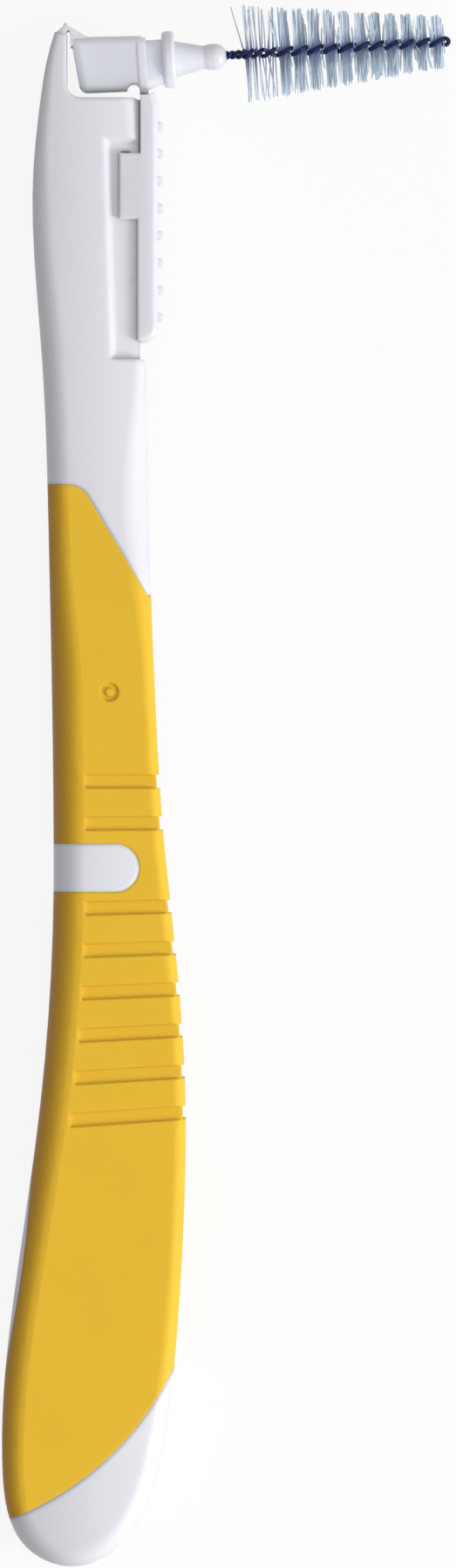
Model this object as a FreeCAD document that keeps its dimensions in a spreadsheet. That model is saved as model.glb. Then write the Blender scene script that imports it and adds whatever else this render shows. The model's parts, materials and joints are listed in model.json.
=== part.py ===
import FreeCAD
import Part
import math
import os
import Sketcher

# Interdental brush with a swinging head, lying on its side.
# X runs from the back of the handle to its front, Y from the tail to the head, Z up from the table.
# The origin lies on the table under the middle of the thumb window. Millimetres and degrees.
# The handle is drawn around its mid-plane and then raised by half its depth. The head pieces are drawn
# around the hinge axis, with the brush along X, and then turned to the angle at which the lock holds them.

DIMENSIONS = [
    ("grip_depth", 8.4, "depth of the grip, from one lying face to the other"),
    ("neck_depth", 5.5, "depth of the handle along the rail, the guide block and the post"),
    ("taper_start", 9.0, "height above the thumb window where the handle begins to get thinner"),
    ("taper_margin", 1.98, "foot of the rail down to the place where it stops getting thinner"),
    ("waist_back", 3.85, "back edge at the thumb window"),
    ("waist_front", 3.9, "front edge at the thumb window"),
    ("hip_drop", 18.2, "thumb window down to the widest part of the finger grip"),
    ("hip_back", 5.0, "back edge there"),
    ("hip_front", 5.22, "front edge there"),
    ("palm_drop", 12.0, "finger grip down to the palm"),
    ("palm_back", 6.68, "back edge at the palm"),
    ("palm_front", 4.76, "front edge at the palm"),
    ("heel_drop", 10.6, "palm down to the heel"),
    ("heel_back", 7.38, "back edge at the heel"),
    ("heel_front", 3.42, "front edge at the heel"),
    ("tail_drop", 7.2, "heel down to the tail end"),
    ("tail_back", 2.3, "lowest point of the tail, behind the origin"),
    ("tail_back_run", 3.3, "lowest point of the tail to its back corner"),
    ("tail_back_rise", 1.2, "height of that corner above the tail end"),
    ("tail_front_run", 3.5, "lowest point of the tail to its front corner"),
    ("tail_front_rise", 2.0, "height of that corner above the tail end"),
    ("throat_front", 3.24, "front edge where the taper starts"),
    ("nape_rise", 23.0, "thumb window up to the upper part of the sleeve"),
    ("nape_back", 4.2, "back edge there"),
    ("neck_rise", 34.98, "thumb window up to the foot of the rail"),
    ("neck_back", 4.66, "back edge at the foot of the rail"),
    ("neck_front", 2.47, "front edge at the foot of the rail"),
    ("rail_length", 14.82, "length of the rail"),
    ("shoulder_back", 5.26, "back edge near the top of the rail"),
    ("shoulder_drop", 2.0, "top of the rail down to that place"),
    ("block_height", 3.15, "height of the guide block above the rail"),
    ("block_back", 4.74, "back edge at the top of the guide block"),
    ("guide_front", 2.05, "front face of the rail and of the guide block"),
    ("post_height", 4.5, "height of the hinge post above the guide block"),
    ("post_mid_back", 4.38, "back edge of the post at half its height"),
    ("post_tip_back", 3.76, "back edge of the post at its tip"),
    ("post_front", 2.95, "front face of the post"),
    ("post_root_radius", 1.0, "fillet between the post and the guide block"),
    ("back_radius", 2.1, "rounding of the back edges along the grip"),
    ("nape_radius", 0.8, "rounding of the back edges where the taper ends"),
    ("front_radius", 0.75, "rounding of the front edges along the grip"),
    ("neck_radius", 1.6, "rounding of the front edges where the taper ends"),
    ("post_radius", 0.3, "rounding of the edges of the post"),
    ("block_radius", 1.2, "rounding of the front edges at the top of the guide block"),
    ("block_corner", 0.66, "length of the rounding at the upper front corner of the guide block"),
    ("block_corner_drop", 0.22, "height of that rounding"),
    ("neck_corner", 0.55, "height of the rounding at the neck's upper front corner"),
    ("sleeve_wall", 1.2, "wall of the soft sleeve"),
    ("sleeve_top_back", 26.36, "upper end of the sleeve at the back"),
    ("sleeve_top_front", 18.72, "upper end of the sleeve at the front"),
    ("sleeve_slant_back", 1.98, "back end of the slanting upper border"),
    ("sleeve_slant_front", 2.6, "front end of the slanting upper border"),
    ("sleeve_slant_radius", 1.8, "rounding of that border at the back"),
    ("sleeve_end_front", 33.5, "lower end of the sleeve at the front"),
    ("sleeve_end_back", 44.9, "lower end of the sleeve at the back"),
    ("sleeve_end_bow", 1.78, "bow of the lower border"),
    ("window_height", 3.3, "height of the thumb window"),
    ("window_reach", 2.04, "front end of the thumb window"),
    ("stripe_drop", 28.2, "thumb window down to the middle of the back stripe"),
    ("stripe_length", 23.0, "length of the back stripe"),
    ("stripe_width", 6.9, "width of the back stripe"),
    ("groove_pitch", 2.91, "spacing of the finger grooves"),
    ("groove_first", 5.94, "height of the first finger groove"),
    ("groove_width", 0.92, "width of a finger groove"),
    ("groove_depth", 0.2, "depth of a finger groove"),
    ("groove_margin", 2.2, "back edge to the end of a groove"),
    ("groove_turn", 0.5, "turn from one groove to the next"),
    ("gate_rise", 12.06, "height of the moulding gate mark"),
    ("gate_radius", 0.62, "radius of the dish around the gate mark"),
    ("gate_sink", 0.14, "depth of that dish"),
    ("gate_nub_radius", 0.3, "radius of the gate nub"),
    ("recess_back_top", 0.05, "back wall of the rail recess at its top"),
    ("recess_back_low", 0.5, "back wall of the rail recess at its foot"),
    ("recess_slope", 50.0, "slope of the walls of the rail recess"),
    ("rail_depth", 4.7, "depth of the rail between the lock's legs"),
    ("pin_mark_x", 1.55, "ejector pin mark on the rail, in front of the origin"),
    ("pin_mark_rise", 5.4, "foot of the rail up to that mark"),
    ("pin_mark_radius", 0.12, "radius of that mark"),
    ("pin_mark_sink", 0.06, "depth of that mark"),
    ("lock_clearance", 0.1, "running clearance of the lock on the rail"),
    ("lock_back_gap", 0.05, "clearance between the lock's plate and the front of the rail"),
    ("lock_travel", 1.1, "travel of the lock"),
    ("lock_wall", 1.2, "thickness of the lock's front plate"),
    ("lock_edge_radius", 0.4, "rounding of the lock's front edges"),
    ("lock_heel_radius", 1.0, "rounding of the lock's lower front end"),
    ("leg_wall", 0.35, "thickness of a leg"),
    ("leg_length", 4.56, "length of a leg along the rail"),
    ("leg_reach", 1.5, "reach of a leg behind the front plate"),
    ("leg_top_gap", 0.66, "top of the rail down to the top of a leg"),
    ("leg_rim_radius", 0.15, "rounding of a leg's outer edges"),
    ("skirt_reach", 0.2, "reach of the lock's side skirts behind its front plate"),
    ("hook_set", 0.25, "back edge of a leg to its hook"),
    ("hook_width", 0.4, "width of the hook on a leg"),
    ("hook_height", 0.35, "height of the hook on a leg"),
    ("hook_length", 2.0, "length of the hook, from the top of the leg"),
    ("tongue_height", 0.45, "height of the guide tongue on the lock's back"),
    ("tongue_depth", 1.2, "depth of the guide tongue"),
    ("tongue_drop", 0.3, "seat of the lock down to the top of the guide tongue"),
    ("lip_height", 0.2, "height of the lip above the lock's seat"),
    ("lip_slope", 0.21, "run of the lip's inner flank"),
    ("lip_flat", 0.08, "flat top of the lip"),
    ("lip_fall", 0.85, "height of the slope in front of the lip"),
    ("rib_count", 8, "ribs on the lock"),
    ("rib_pitch", 1.875, "spacing of the ribs"),
    ("rib_height", 0.4, "height of a rib"),
    ("rib_width", 0.54, "width of a rib"),
    ("rib_length", 4.4, "length of a rib"),
    ("rib_margin", 1.72, "lower end of the lock up to the first rib"),
    ("hinge_set", 0.05, "hinge axis behind the front face of the post"),
    ("hinge_rise", 0.36, "tip of the post up to the hinge axis"),
    ("hinge_wall", 0.56, "thickness of the hinge web"),
    ("hinge_width", 3.6, "width of the hinge web"),
    ("head_tilt", 3.6, "angle of the brush above the square position"),
    ("axis_drop", 2.55, "hinge axis down to the axis of the wire"),
    ("nose_drop", 2.6, "hinge axis down to the axis of the holder's nose"),
    ("barrel_back", 0.26, "hinge axis to the back wall of the holder at its top"),
    ("barrel_lean", 0.45, "lean of that wall towards the brush at its foot"),
    ("barrel_top", 0.9, "hinge axis down to the top of the holder"),
    ("barrel_top_rise", 0.2, "rise of the holder's top towards its back"),
    ("barrel_height", 3.62, "height of the holder below that"),
    ("barrel_fall", 0.08, "fall of the holder's underside towards the flange"),
    ("barrel_length", 4.52, "length of the barrel"),
    ("barrel_depth", 4.0, "depth of the barrel"),
    ("barrel_radius", 0.6, "rounding of the barrel"),
    ("notch_set", 0.42, "flange back to the middle of the notch under the holder"),
    ("notch_drop", 0.03, "depth of that middle below the holder's underside"),
    ("notch_radius", 0.44, "radius of that notch"),
    ("flange_wall", 0.6, "thickness of the flange"),
    ("flange_depth", 4.1, "depth of the flange"),
    ("flange_drop", 0.1, "top of the holder down to the top of the flange"),
    ("foot_height", 0.35, "foot of the flange below the holder"),
    ("neck_length", 1.1, "length of the holder's neck"),
    ("neck_top", 0.3, "top of the holder down to the top of its neck"),
    ("neck_height", 3.4, "height of the holder's neck at the flange"),
    ("neck_rise_front", 0.4, "rise of the neck's underside towards the collar"),
    ("neck_width", 2.6, "width of the holder's neck"),
    ("collar_length", 0.88, "length of the collar"),
    ("collar_radius", 1.97, "radius of the collar"),
    ("collar_rounding", 0.3, "rounding of the collar's edges"),
    ("cone_length", 1.95, "length of the cone"),
    ("cone_radius", 1.25, "radius of the cone at the collar"),
    ("cone_end_radius", 0.8, "radius of the cone at its end"),
    ("ball_radius", 0.9, "radius of the ball end"),
    ("ball_length", 1.64, "length of the ball end"),
    ("wire_radius", 0.15, "radius of the wire"),
    ("wire_spread_root", 0.16, "brush axis to a strand, where no filaments lie"),
    ("wire_clearance", 0.025, "clearance between the wire, the filaments and the bore"),
    ("wire_root", 7.1, "length of wire inside the holder"),
    ("wire_length", 15.4, "length of wire outside the holder"),
    ("twist_root", 0.42, "half turn of the twist at the holder"),
    ("twist_brush", 1.06, "half turn of the twist in the brush"),
    ("twist_start", 0.5, "ball end to the place where the twist begins to widen"),
    ("twist_ramp", 3.45, "length over which the twist widens"),
    ("twist_end", 0.02, "end of the twist to the bend of the wire at the tip"),
    ("lead_turns", 5, "half turns of the twist before the brush"),
    ("sparse_rows", 3, "first rows of filaments, which are thin"),
    ("full_rows", 11, "rows of filaments after them"),
    ("filament_radius", 0.045, "radius of a filament"),
    ("sparse_count", 5, "filaments in a thin row"),
    ("filament_count", 10, "filaments in a full row"),
    ("brush_root_radius", 3.48, "radius of the brush at its root"),
    ("brush_tip_radius", 1.85, "radius of the brush at its tip"),
]

BEYOND = 20.0  # reach of a cutting shape past the piece it cuts
V = FreeCAD.Vector

doc = FreeCAD.newDocument("interdental_brush")
sheet = doc.addObject("Spreadsheet::Sheet", "dims")
for number, (alias, value, words) in enumerate(DIMENSIONS, start=1):
    sheet.set(f"A{number}", words)
    sheet.set(f"B{number}", str(value))
    sheet.setAlias(f"B{number}", alias)
doc.recompute()


def size(alias):
    return float(getattr(sheet, alias))


def value_of(expression):
    result = sheet.evalExpression(expression)
    return float(getattr(result, "Value", result))


def new_body(name):
    body = doc.addObject("PartDesign::Body", name)
    body.AllowCompound = True
    return body


def new_sketch(body, plane, name, lift=None):
    sketch = body.newObject("Sketcher::SketchObject", name)
    origin_plane = next(item for item in body.Origin.OriginFeatures if item.Role == plane)
    sketch.AttachmentSupport = [(origin_plane, "")]
    sketch.MapMode = "FlatFace"
    if lift is not None:
        sketch.setExpression("AttachmentOffset.Base.z", lift)
    return sketch


def pin_point(sketch, line, end, x, y):
    across = sketch.addConstraint(Sketcher.Constraint("DistanceX", -1, 1, line, end, value_of(x)))
    sketch.setExpression(f"Constraints[{across}]", x)
    upward = sketch.addConstraint(Sketcher.Constraint("DistanceY", -1, 1, line, end, value_of(y)))
    sketch.setExpression(f"Constraints[{upward}]", y)


def add_polygon(sketch, corners):
    # Closed outline, each corner given as two expressions on the sheet.
    points = [V(value_of(x), value_of(y), 0) for x, y in corners]
    count = len(points)
    first = sketch.GeometryCount
    for index in range(count):
        sketch.addGeometry(Part.LineSegment(points[index], points[(index + 1) % count]))
    for index in range(count):
        following = first + (index + 1) % count
        sketch.addConstraint(Sketcher.Constraint("Coincident", first + index, 2, following, 1))
    for index, (x, y) in enumerate(corners):
        pin_point(sketch, first + index, 1, x, y)


def add_circle(sketch, x, y, radius):
    centre = V(value_of(x), value_of(y), 0)
    circle = sketch.addGeometry(Part.Circle(centre, V(0, 0, 1), value_of(radius)))
    pin_point(sketch, circle, 3, x, y)
    number = sketch.addConstraint(Sketcher.Constraint("Radius", circle, value_of(radius)))
    sketch.setExpression(f"Constraints[{number}]", radius)


def add_feature(body, kind, name, sketch, length=None, symmetric=False):
    feature = body.newObject("PartDesign::" + kind, name)
    feature.Profile = sketch
    if length is not None:
        feature.setExpression("Length", length)
    if symmetric:
        feature.SideType = "Symmetric"
    sketch.Visibility = False
    return feature


def round_edges(body, name, radius, wanted):
    # Rounds the edges of the body's tip for which wanted(edge) holds.
    doc.recompute()
    tip = body.Tip
    names = [f"Edge{index}" for index, edge in enumerate(tip.Shape.Edges, start=1) if wanted(edge)]
    fillet = body.newObject("PartDesign::Fillet", name)
    fillet.Base = (tip, names)
    fillet.setExpression("Radius", radius)
    return fillet


def mirrored(body, name, originals):
    feature = body.newObject("PartDesign::Mirrored", name)
    feature.Originals = originals
    plane = next(item for item in body.Origin.OriginFeatures if item.Role == "XY_Plane")
    feature.MirrorPlane = (plane, [""])
    body.Tip = feature
    return feature


def boolean(kind, name, *pieces):
    result = doc.addObject("Part::" + kind, name)
    if kind in ("MultiFuse", "MultiCommon"):
        result.Shapes = list(pieces)
    else:
        result.Base, result.Tool = pieces
    return result


def box_at(name, x, y, z, length, width, height):
    # A box from its lowest corner, every value an expression on the sheet.
    box = doc.addObject("Part::Box", name)
    for key, expression in (("Length", length), ("Width", width), ("Height", height)):
        box.setExpression(key, expression)
    for key, expression in (("x", x), ("y", y), ("z", z)):
        box.setExpression("Placement.Base." + key, expression)
    return box


def spline(points, first_tangent, last_tangent=None):
    # Smooth curve through points, with its direction given at the start and, where wanted, at the end.
    tangents = [first_tangent] + [V(0, 1, 0)] * (len(points) - 2) + [last_tangent or V(0, 1, 0)]
    flags = [True] + [False] * (len(points) - 2) + [last_tangent is not None]
    curve = Part.BSplineCurve()
    curve.interpolate(Points=points, Tangents=tangents, TangentFlags=flags, Scale=True)
    return curve


# Handle: heights of the stations along it.
hip_y = -size("hip_drop")
palm_y = hip_y - size("palm_drop")
heel_y = palm_y - size("heel_drop")
tail_y = heel_y - size("tail_drop")
rail_y = size("neck_rise")
taper_end = rail_y - size("taper_margin")
rail_top = rail_y + size("rail_length")
block_top = rail_top + size("block_height")
post_top = block_top + size("post_height")
WAIST_LEAN = V(-0.11, 1, 0)  # direction of the front edge at the thumb window
RAIL_TOP = "dims.neck_rise + dims.rail_length"
BLOCK_TOP = RAIL_TOP + " + dims.block_height"
POST_TOP = BLOCK_TOP + " + dims.post_height"


def grip_curve(inset):
    # Back edge, tail and front edge below the thumb window, as one curve.
    tail = V(-size("tail_back"), tail_y + inset, 0)
    points = [
        V(inset - size("waist_back"), 0, 0),
        V(inset - size("hip_back"), hip_y, 0),
        V(inset - size("palm_back"), palm_y, 0),
        V(inset - size("heel_back"), heel_y, 0),
        tail + V(-size("tail_back_run") + inset / 2, size("tail_back_rise"), 0),
        tail,
        tail + V(size("tail_front_run") - inset / 2, size("tail_front_rise"), 0),
        V(size("heel_front") - inset, heel_y, 0),
        V(size("palm_front") - inset, palm_y, 0),
        V(size("hip_front") - inset, hip_y, 0),
        V(size("waist_front") - inset, 0, 0),
    ]
    return spline(points, V(0, -1, 0), WAIST_LEAN)


def front_curve(inset):
    points = [
        V(size("waist_front") - inset, 0, 0),
        V(size("throat_front") - inset, size("taper_start"), 0),
        V(size("neck_front") - inset, rail_y, 0),
    ]
    return spline(points, WAIST_LEAN, V(-0.015, 1, 0))


def back_curve(inset):
    points = [
        V(inset - size("waist_back"), 0, 0),
        V(inset - size("nape_back"), size("nape_rise"), 0),
        V(inset - size("neck_back"), rail_y, 0),
        V(inset - size("shoulder_back"), rail_top - size("shoulder_drop"), 0),
        V(inset - size("block_back"), block_top, 0),
        V(inset - size("post_mid_back"), (block_top + post_top) / 2, 0),
        V(inset - size("post_tip_back"), post_top, 0),
    ]
    return spline(points, V(0, 1, 0))


def head_lines():
    # From the neck around the guide block and the post to the tip of the post.
    face = -size("post_front")
    radius = size("post_root_radius")
    slant = radius * (1 - math.sqrt(0.5))
    neck = V(size("neck_front"), rail_y, 0)
    top_front = V(size("neck_front"), block_top, 0)
    root = V(face + radius, block_top, 0)
    bend = V(face + slant, block_top + slant, 0)
    foot = V(face, block_top + radius, 0)
    tip_front = V(face, post_top - 0.15, 0)
    lines = [Part.LineSegment(neck, top_front)]
    lines.append(Part.LineSegment(top_front, root))
    lines.append(Part.Arc(root, bend, foot))
    lines.append(Part.LineSegment(foot, tip_front))
    lines.append(Part.LineSegment(tip_front, V(-size("post_tip_back"), post_top, 0)))
    return lines


def taper_arcs():
    # The lying faces fall from the grip to the rail in two equal arcs: half the run, radius, angle of each.
    fall = (size("grip_depth") - size("neck_depth")) / 2
    run = (taper_end - size("taper_start")) / 2
    radius = (run * run + fall * fall / 4) / fall
    return run, radius, math.asin(run / radius)


def handle_form(name, inset, whole):
    # The handle's outer form, or the same form with its faces moved inwards by inset.
    body = new_body(name)
    side = new_sketch(body, "XY_Plane", name + "_side")
    side.addGeometry(grip_curve(inset))
    front = front_curve(inset)
    back = back_curve(inset)
    side.addGeometry(front)
    side.addGeometry(back)
    if whole:
        for line in head_lines():
            side.addGeometry(line)
    else:
        top_back = V(inset - size("post_tip_back"), post_top, 0)
        top_front = V(size("neck_front") - inset, post_top, 0)
        side.addGeometry(Part.LineSegment(V(size("neck_front") - inset, rail_y, 0), top_front))
        side.addGeometry(Part.LineSegment(top_front, top_back))
    add_feature(body, "Pad", name + "_slab", side, f"dims.grip_depth - 2 * {inset}", True)
    # Both lying faces curve inwards above the grip, seen from the front.
    run, radius, turn = taper_arcs()
    taper = new_sketch(body, "YZ_Plane", name + "_taper")
    for sign in (1, -1):
        start = V(size("taper_start"), sign * (size("grip_depth") / 2 - radius), 0)
        finish = V(taper_end, sign * (size("neck_depth") / 2 + radius), 0)
        falls = [start + V(math.sin(a), sign * math.cos(a), 0) * (radius - inset) for a in (0, turn / 2, turn)]
        evens = [finish - V(math.sin(a), sign * math.cos(a), 0) * (radius + inset) for a in (turn, turn / 2, 0)]
        evens[0] = falls[2]
        corners = [evens[2], V(post_top + 1, evens[2].y, 0), V(post_top + 1, sign * BEYOND, 0)]
        corners += [V(falls[0].x, sign * BEYOND, 0), falls[0]]
        taper.addGeometry(Part.Arc(*falls))
        taper.addGeometry(Part.Arc(*evens))
        for first, second in zip(corners, corners[1:]):
            taper.addGeometry(Part.LineSegment(first, second))
    cut = add_feature(body, "Pocket", name + "_thinning", taper, str(2 * BEYOND), True)
    cut.Type = "Length"
    doc.recompute()
    return body


def on_flank(edge, depth_at):
    # True for an edge that runs along one of the two lying faces.
    middle = edge.valueAt((edge.FirstParameter + edge.LastParameter) / 2)
    ends = [vertex.Point for vertex in edge.Vertexes]
    return all(abs(abs(point.z) - depth_at(point.y)) < 0.01 for point in ends + [middle])


def half_depth(y):
    # Half the depth of the handle at height y.
    run, radius, turn = taper_arcs()
    above = y - size("taper_start")
    below = taper_end - y
    if above <= 0:
        return size("grip_depth") / 2
    if below <= 0:
        return size("neck_depth") / 2
    if above < run:
        return size("grip_depth") / 2 - (radius - math.sqrt(radius * radius - above * above))
    return size("neck_depth") / 2 + (radius - math.sqrt(radius * radius - below * below))


def between(y, stations):
    # Value at height y, along straight lines between the stations.
    if y <= stations[0][0]:
        return stations[0][1]
    for (low, low_value), (high, high_value) in zip(stations, stations[1:]):
        if y <= high:
            return low_value + (high_value - low_value) * (y - low) / (high - low)
    return stations[-1][1]


def edge_rounding(point):
    # Rounding at a point of the outline: at the back it gets smaller upwards, at the front it swells at the neck.
    heights = (size("taper_start"), taper_end, post_top)
    radii = ("back_radius", "nape_radius", "post_radius")
    if point.x > -1:
        heights = (size("taper_start"), taper_end, block_top)
        radii = ("front_radius", "neck_radius", "block_radius")
    return between(point.y, [(height, size(radius)) for height, radius in zip(heights, radii)])


def stands_at(point):
    def test(edge):
        return all(abs(v.X - point.x) + abs(v.Y - point.y) < 0.001 for v in edge.Vertexes)
    return test


def rounded_handle(name, form):
    # Rounds the long edges of both flanks, from the tip of the post around the tail to the top of the guide block.
    result = doc.addObject("Part::Fillet", name)
    result.Base = form
    edges = []
    for index, edge in enumerate(form.Shape.Edges, start=1):
        ends = [edge.valueAt(edge.FirstParameter), edge.valueAt(edge.LastParameter)]
        across = abs(ends[0].y - ends[1].y) < 0.01 and ends[0].y > 0
        front = size("neck_front") - 0.01
        head = any(end.y > rail_y + 0.01 and -size("post_front") - 0.01 < end.x < front for end in ends)
        if on_flank(edge, half_depth) and not (across or head):
            edges.append((index, edge_rounding(ends[0]), edge_rounding(ends[1])))
    result.Edges = edges
    form.Visibility = False
    return result


outer_form = handle_form("outer_form", 0, True)
outer_skin = rounded_handle("outer_skin", outer_form)
spine = handle_form("spine", size("sleeve_wall"), False)
groove_floor = handle_form("groove_floor", size("groove_depth"), False)

# Where the soft sleeve lies: the grip between its two borders, less the windows.
sleeve_zone = new_body("sleeve_zone")
border = new_sketch(sleeve_zone, "XY_Plane", "sleeve_border")
slant_back = V(-size("sleeve_slant_back"), size("sleeve_top_back"), 0)
slant_front = V(size("sleeve_slant_front"), size("sleeve_top_front"), 0)
end_front = V(size("palm_front"), -size("sleeve_end_front"), 0)
end_back = V(-size("heel_back"), -size("sleeve_end_back"), 0)
chord = end_back - end_front
sag = V(-chord.y, chord.x, 0).normalize() * size("sleeve_end_bow")
bow_middle = (end_front + end_back) / 2 + sag
bow = Part.Circle(end_front, bow_middle, end_back)
margin = 2.0 / bow.Radius
bow_turns = [bow.parameter(point) for point in (end_front, bow_middle, end_back)]
bow_way = math.copysign(margin, math.sin(bow_turns[1] - bow_turns[0]))
bow_ends = [bow.value(bow_turns[2] + bow_way), bow.value(bow_turns[0] - bow_way)]
wide_bow = Part.Arc(bow_ends[1], bow_middle, bow_ends[0])
outline = [
    bow_ends[0],
    V(-BEYOND, bow_ends[0].y, 0),
    V(-BEYOND, slant_back.y, 0),
    slant_back,
    slant_front,
    V(BEYOND, slant_front.y, 0),
    V(BEYOND, bow_ends[1].y, 0),
    bow_ends[1],
]
border.addGeometry(wide_bow)
for start, end in zip(outline, outline[1:]):
    border.addGeometry(Part.LineSegment(start, end))
add_feature(sleeve_zone, "Pad", "sleeve_slab", border, str(2 * BEYOND), True)


round_edges(sleeve_zone, "sleeve_corner", "dims.sleeve_slant_radius", stands_at(slant_back))
window = new_sketch(sleeve_zone, "XY_Plane", "thumb_window")
half_window = size("window_height") / 2
bend_x = size("window_reach") - half_window
window_ends = [V(bend_x, half_window, 0), V(-BEYOND, half_window, 0)]
window_ends += [V(-BEYOND, -half_window, 0), V(bend_x, -half_window, 0)]
for start, end in zip(window_ends, window_ends[1:]):
    window.addGeometry(Part.LineSegment(start, end))
window.addGeometry(Part.Arc(window_ends[3], V(size("window_reach"), 0, 0), window_ends[0]))
add_feature(sleeve_zone, "Pocket", "thumb_window_cut", window, str(3 * BEYOND), True)
stripe = new_sketch(sleeve_zone, "YZ_Plane", "back_stripe", "-dims.waist_back + dims.sleeve_wall")
stripe_middle = V(-size("stripe_drop"), 0, 0)
stripe.addGeometry(Part.Ellipse(
    stripe_middle + V(size("stripe_length") / 2, 0, 0),
    stripe_middle + V(0, size("stripe_width") / 2, 0),
    stripe_middle,
))
add_feature(sleeve_zone, "Pocket", "back_stripe_cut", stripe, str(2 * BEYOND))

# Finger grooves: slots across the front of the grip, none where the thumb window is.
GROOVES = [0, 1, 3, 4, 5, 6, 7, 8]
back_edge = grip_curve(0).toShape()
upper_back_edge = back_curve(0).toShape()


def back_x(y):
    # Back edge of the handle at height y.
    level = Part.makeLine(V(-BEYOND, y, 0), V(0, y, 0))
    edge = back_edge if y < 0 else upper_back_edge
    return edge.distToShape(level)[1][0][0].x


slots = []
for place in GROOVES:
    height = size("groove_first") - place * size("groove_pitch")
    slot = doc.addObject("Part::Box", f"groove_{place + 1}")
    slot.setExpression("Width", "dims.groove_width")
    slot.Length = BEYOND
    slot.Height = BEYOND
    turn = FreeCAD.Rotation(V(0, 0, 1), place * size("groove_turn"))
    corner = turn.multVec(V(0, -size("groove_width") / 2, -BEYOND / 2))
    start = V(back_x(height) + size("groove_margin"), height, 0)
    slot.Placement = FreeCAD.Placement(start + corner, turn)
    slots.append(slot)
groove_bars = boolean("MultiFuse", "groove_bars", *slots)
groove_rings = boolean("Cut", "groove_rings", groove_bars, groove_floor)

# Gate mark: a dish in the upper side of the sleeve, with a nub left standing in it.
gate_dish = new_body("gate_dish")
dish = new_sketch(gate_dish, "XY_Plane", "gate_rings", f"{half_depth(size('gate_rise'))} - dims.gate_sink")
add_circle(dish, "0", "dims.gate_rise", "dims.gate_radius")
add_circle(dish, "0", "dims.gate_rise", "dims.gate_nub_radius")
add_feature(gate_dish, "Pad", "gate_ring", dish, "1")

sleeve_blank = boolean("MultiCommon", "sleeve_blank", outer_skin, sleeve_zone)
sleeve_shell = boolean("Cut", "sleeve_shell", sleeve_blank, spine)
sleeve_grooved = boolean("Cut", "sleeve_grooved", sleeve_shell, groove_rings)
grip_sleeve = boolean("Cut", "grip_sleeve", sleeve_grooved, gate_dish)

# Core: everything of the handle that the sleeve leaves, with the spine through it and the rail cut in it.
core_ends = boolean("Cut", "core_ends", outer_skin, sleeve_zone)
spine_limit = box_at("spine_limit", str(-BEYOND), str(-3 * BEYOND), str(-BEYOND), str(2 * BEYOND),
                     f"{3 * BEYOND} + dims.sleeve_top_back + 1", str(2 * BEYOND))
spine_part = boolean("MultiCommon", "spine_part", spine, spine_limit)
core_blank = boolean("MultiFuse", "core_blank", core_ends, spine_part)
front_step = new_body("front_step")
step = new_sketch(front_step, "XY_Plane", "step_outline")
guide = size("guide_front")
corner = size("block_corner")
corner_drop = size("block_corner_drop")
corner_radius = (corner * corner + corner_drop * corner_drop) / (2 * corner_drop)
corner_turn = math.asin(corner / corner_radius) / 2
corner_middle = V(guide - corner, block_top - corner_radius, 0)
corner_middle += V(math.sin(corner_turn), math.cos(corner_turn), 0) * corner_radius
neck_step = size("neck_front") - guide
neck_low = rail_y - size("neck_corner")
neck_middle = V(guide + 0.75 * neck_step, rail_y - 0.3 * size("neck_corner"), 0)
step_points = [
    V(guide - corner, block_top, 0),
    V(guide - corner, block_top + 1, 0),
    V(BEYOND, block_top + 1, 0),
    V(BEYOND, neck_low, 0),
    V(size("neck_front") + 0.05, neck_low, 0),
]
for start, end in zip(step_points, step_points[1:]):
    step.addGeometry(Part.LineSegment(start, end))
step.addGeometry(Part.Arc(step_points[-1], neck_middle, V(guide, rail_y, 0)))
step.addGeometry(Part.LineSegment(V(guide, rail_y, 0), V(guide, block_top - corner_drop, 0)))
step.addGeometry(Part.Arc(V(guide, block_top - corner_drop, 0), corner_middle, step_points[0]))
add_feature(front_step, "Pad", "step_slab", step, str(2 * BEYOND), True)
recess_pair = new_body("recess_pair")
recess = new_sketch(recess_pair, "XY_Plane", "recess_floor", "dims.rail_depth / 2")
add_polygon(recess, [
    ("dims.recess_back_low", "dims.neck_rise"),
    (str(BEYOND), "dims.neck_rise"),
    (str(BEYOND), RAIL_TOP),
    ("dims.recess_back_top", RAIL_TOP),
])
recess_pad = add_feature(recess_pair, "Pad", "recess", recess, "1")
recess_pad.setExpression("TaperAngle", "dims.recess_slope")
mirrored(recess_pair, "recesses", [recess_pad])
recess_limit = box_at("recess_limit", str(-BEYOND), "dims.neck_rise", str(-BEYOND), str(3 * BEYOND),
                      str(2 * BEYOND), str(2 * BEYOND))
recess_cut = boolean("MultiCommon", "recess_cut", recess_pair, recess_limit)
LEG_BACK = "dims.guide_front + dims.lock_clearance - dims.leg_reach"
LEG_TOP = f"{RAIL_TOP} - dims.leg_top_gap"
HOOK_SLOT = "dims.hook_height + dims.lock_clearance"
cuts = [front_step, recess_cut]
for side_name, level in (("upper", f"dims.rail_depth / 2 - ({HOOK_SLOT})"), ("lower", "-dims.rail_depth / 2 - 1")):
    cuts.append(box_at(
        f"hook_slot_{side_name}",
        f"{LEG_BACK} + dims.hook_set - dims.lock_clearance",
        f"{LEG_TOP} - dims.hook_length - dims.lock_travel - dims.lock_clearance",
        level,
        "dims.hook_width + 2 * dims.lock_clearance",
        "dims.hook_length + dims.lock_travel + 2 * dims.lock_clearance",
        f"{HOOK_SLOT} + 1",
    ))
cuts.append(box_at(
    "tongue_groove",
    "dims.guide_front - dims.tongue_height - dims.lock_clearance",
    "dims.neck_rise",
    "-dims.tongue_depth / 2 - dims.lock_clearance",
    str(BEYOND),
    str(BEYOND),
    "dims.tongue_depth + 2 * dims.lock_clearance",
))
pin_mark = doc.addObject("Part::Cylinder", "pin_mark")
pin_mark.setExpression("Radius", "dims.pin_mark_radius")
pin_mark.Height = 1
pin_mark.setExpression("Placement.Base.x", "dims.pin_mark_x")
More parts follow.
